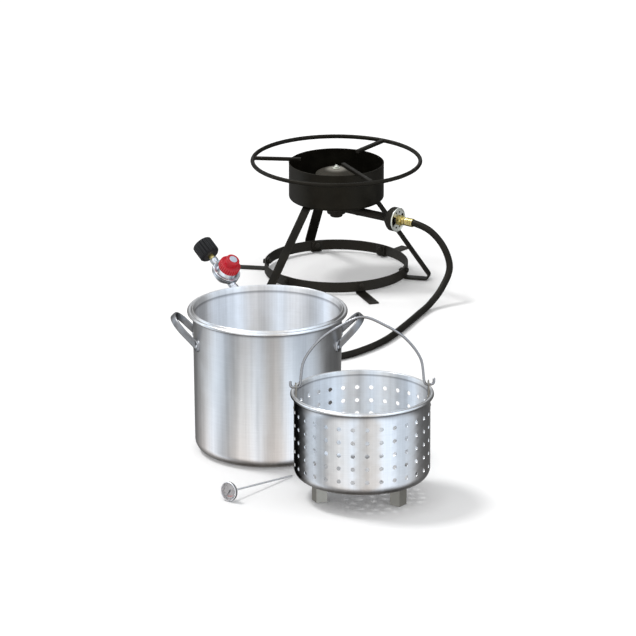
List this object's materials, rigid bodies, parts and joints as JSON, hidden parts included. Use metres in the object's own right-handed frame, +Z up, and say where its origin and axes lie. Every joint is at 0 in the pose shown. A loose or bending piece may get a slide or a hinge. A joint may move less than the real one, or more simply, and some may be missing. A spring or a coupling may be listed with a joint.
{
  "type": "turkey fryer kit",
  "caption": "Outdoor frying kit: a ringed gas burner stand with hose and regulator, a deep lidless stock pot, a perforated basket with a swinging bail, and a dial thermometer.",
  "frame": {"origin": "on the floor, under the centre of the stock pot's base", "axes": "+Z up; +X to the right, along the pot's two handles; +Y away from the front of the display, towards the burner stand"},
  "size_m": [0.6536, 2.0267, 0.4199],
  "materials": {
    "black_paint": "semi-gloss black heat-resistant paint",
    "black_cast_iron": "black painted sand casting",
    "burner_iron": "bare grey iron, lightly oiled",
    "zinc_steel": "zinc plated",
    "brass": "machined brass",
    "hose_rubber": "matt black rubber",
    "die_cast": "die-cast, satin",
    "red_plastic": "moulded red, ribbed skirt",
    "black_plastic": "moulded black, ribbed grip",
    "spun_aluminium": "spun and brushed aluminium with fine turning lines",
    "stainless_wire": "bright drawn stainless steel",
    "lens_glass": "clear",
    "dial_white": null
  },
  "bodies": {
    "stand": {"pot_ring": "black_paint", "support_bar_rear": "black_paint", "support_bar_left": "black_paint", "support_bar_front": "black_paint", "wind_guard_pan": "black_paint", "burner_casting": "black_cast_iron", "burner_cap": "burner_iron", "burner_stud": "zinc_steel", "orifice_fitting": "brass", "hose_ferrule_burner": "brass", "leg_right": "black_paint", "leg_rear": "black_paint", "leg_front": "black_paint", "leg_bolt_right": "zinc_steel", "leg_bolt_rear": "zinc_steel", "leg_bolt_front": "zinc_steel", "leg_hoop_bolt_right": "zinc_steel", "leg_hoop_bolt_rear": "zinc_steel", "leg_hoop_bolt_front": "zinc_steel", "base_hoop": "black_paint", "stabiliser_rear": "black_paint", "stabiliser_left": "black_paint", "stabiliser_front": "black_paint", "stabiliser_bolt_rear": "zinc_steel", "stabiliser_bolt_left": "zinc_steel", "stabiliser_bolt_front": "zinc_steel", "gas_hose": "hose_rubber", "hose_ferrule_regulator": "brass", "regulator_body": "die_cast", "regulator_bonnet": "die_cast", "regulator_diaphragm": "hose_rubber", "regulator_spring": "stainless_wire", "inlet_nipple": "brass"},
    "shutter": {"air_shutter": "zinc_steel"},
    "knob": {"pressure_knob": "red_plastic"},
    "coupling": {"coupling_nut": "black_plastic"},
    "pot": {"pot_shell": "spun_aluminium", "pot_handle_left": "spun_aluminium", "pot_handle_right": "spun_aluminium", "handle_rivet_left_1": "spun_aluminium", "handle_rivet_left_2": "spun_aluminium", "handle_rivet_left_3": "spun_aluminium", "handle_rivet_left_4": "spun_aluminium", "handle_rivet_right_1": "spun_aluminium", "handle_rivet_right_2": "spun_aluminium", "handle_rivet_right_3": "spun_aluminium", "handle_rivet_right_4": "spun_aluminium"},
    "basket": {"basket_shell": "spun_aluminium", "bail_ear_left": "spun_aluminium", "bail_ear_right": "spun_aluminium", "basket_leg_right": "spun_aluminium", "basket_leg_rear": "spun_aluminium", "basket_leg_left": "spun_aluminium"},
    "bail": {"bail": "stainless_wire"},
    "thermometer": {"thermometer_case": "stainless_wire", "thermometer_dial": "dial_white", "thermometer_lens": "lens_glass", "thermometer_stem": "stainless_wire"},
    "needle": {"thermometer_needle": "black_plastic"}
  },
  "joints": [
    {"name": "shutter_turn", "type": "hinge", "parent": "stand", "child": "shutter", "pos_m": [0.158, 1.3, 0.166], "axis": [0.809, -0.5878, 0], "range_deg": [0, 90]},
    {"name": "knob_turn", "type": "hinge", "parent": "stand", "child": "knob", "pos_m": [-0.104, 1.05, 0.082], "axis": [0.3838, -0.4263, 0.8192], "range_deg": [0, 300]},
    {"name": "coupling_turn", "type": "hinge", "parent": "stand", "child": "coupling", "pos_m": [-0.15169, 1.10296, 0.11969], "axis": [-0.5481, 0.6087, 0.5736], "continuous": true},
    {"name": "pot_lift", "type": "slide", "parent": "stand", "child": "pot", "axis": [0, 0, 1], "range_m": [0, 0.4]},
    {"name": "basket_lift", "type": "slide", "parent": "stand", "child": "basket", "axis": [0, 0, 1], "range_m": [0, 0.4]},
    {"name": "bail_swing", "type": "hinge", "parent": "basket", "child": "bail", "pos_m": [0.212, -0.331, 0.257], "axis": [0.9976, 0.0698, 0], "range_deg": [-90, 90]},
    {"name": "thermometer_lift", "type": "slide", "parent": "stand", "child": "thermometer", "axis": [0, 0, 1], "range_m": [0, 0.25]},
    {"name": "needle_turn", "type": "hinge", "parent": "thermometer", "child": "needle", "pos_m": [-0.086, -0.374, 0.0226], "axis": [0.6401, 0.7629, -0.0906], "range_deg": [0, 300]}
  ]
}
